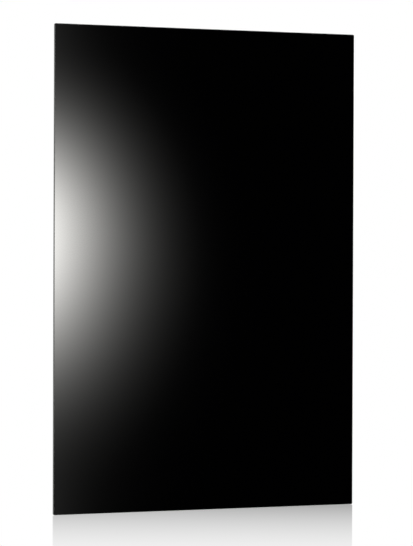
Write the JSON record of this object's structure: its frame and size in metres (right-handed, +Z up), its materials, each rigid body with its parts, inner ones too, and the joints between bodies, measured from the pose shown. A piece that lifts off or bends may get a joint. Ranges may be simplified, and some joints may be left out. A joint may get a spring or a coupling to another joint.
{
  "type": "infrared panel heater",
  "caption": "Wall-hung frameless black glass infrared heating panel, portrait, with a recessed steel back, junction box, hook-on wall rails and swinging lift-off locks.",
  "frame": {"origin": "middle of the upper wall rail's back face, on the wall", "axes": "+Z up, +Y into the wall, +X to the right as seen from the room; the glass faces -Y"},
  "size_m": [0.6, 0.0486, 0.9],
  "materials": {
    "black_glass": "polished",
    "silicone": "satin",
    "insulating_film": "satin",
    "resistance_alloy": "satin",
    "reflector_foil": "gloss",
    "mineral_wool": "matte",
    "coated_steel": "satin",
    "zinc_plate": "satin",
    "screw_steel": "gloss",
    "rubber": "matte",
    "box_plastic": "satin",
    "gland_plastic": "satin",
    "block_plastic": "satin",
    "brass": "gloss",
    "limiter_plastic": "satin",
    "lead_brown": "satin",
    "lead_blue": "satin",
    "lead_earth": "satin",
    "nylon": "satin"
  },
  "bodies": {
    "wall_rails": {"upper_wall_rail": "zinc_plate", "lower_wall_rail": "zinc_plate"},
    "panel": {"glass_front": "black_glass", "adhesive_bead": "silicone", "front_insulating_film": "insulating_film", "heating_conductor": "resistance_alloy", "rear_insulating_film": "insulating_film", "reflector_foil": "reflector_foil", "insulation_mat": "mineral_wool", "rear_tray": "coated_steel", "element_tab_left": "brass", "element_tab_right": "brass", "thermal_limiter_lower": "limiter_plastic", "thermal_limiter_upper": "limiter_plastic", "lead_live_in": "lead_brown", "lead_link": "lead_brown", "lead_live_out": "lead_brown", "lead_neutral": "lead_blue", "tray_grommet": "rubber", "junction_box": "box_plastic", "junction_box_lid": "box_plastic", "lid_screw_1": "screw_steel", "lid_screw_2": "screw_steel", "lid_screw_3": "screw_steel", "lid_screw_4": "screw_steel", "box_fixing_screw_left": "screw_steel", "box_fixing_screw_right": "screw_steel", "terminal_block": "block_plastic", "terminal_screw_1": "brass", "terminal_screw_2": "brass", "terminal_screw_3": "brass", "earth_stud": "zinc_plate", "earth_nut": "brass", "earth_lead": "lead_earth", "gland_body": "gland_plastic", "gland_locknut": "gland_plastic", "gland_seal": "rubber", "gland_cap": "gland_plastic", "upper_cleat": "zinc_plate", "lower_cleat": "zinc_plate", "cleat_rivet_1": "screw_steel", "cleat_rivet_2": "screw_steel", "cleat_rivet_3": "screw_steel", "cleat_rivet_4": "screw_steel", "cleat_rivet_5": "screw_steel", "cleat_rivet_6": "screw_steel", "cleat_rivet_7": "screw_steel", "cleat_rivet_8": "screw_steel", "wall_bumper_left": "rubber", "wall_bumper_right": "rubber", "lock_pin_left": "screw_steel", "lock_pin_right": "screw_steel", "lock_washer_left": "nylon", "lock_washer_right": "nylon"},
    "lock_left": {"lock_lever_left": "zinc_plate"},
    "lock_right": {"lock_lever_right": "zinc_plate"}
  },
  "joints": [
    {"name": "lift_off", "type": "slide", "parent": "wall_rails", "child": "panel", "axis": [0, 0, 1], "range_m": [0, 0.014]},
    {"name": "lock_swing_left", "type": "hinge", "parent": "panel", "child": "lock_left", "pos_m": [-0.184, -0.0063, -0.549], "axis": [0, 1, 0], "range_deg": [0, 90]},
    {"name": "lock_swing_right", "type": "hinge", "parent": "panel", "child": "lock_right", "pos_m": [0.184, -0.0063, -0.549], "axis": [0, -1, 0], "range_deg": [0, 90]}
  ]
}
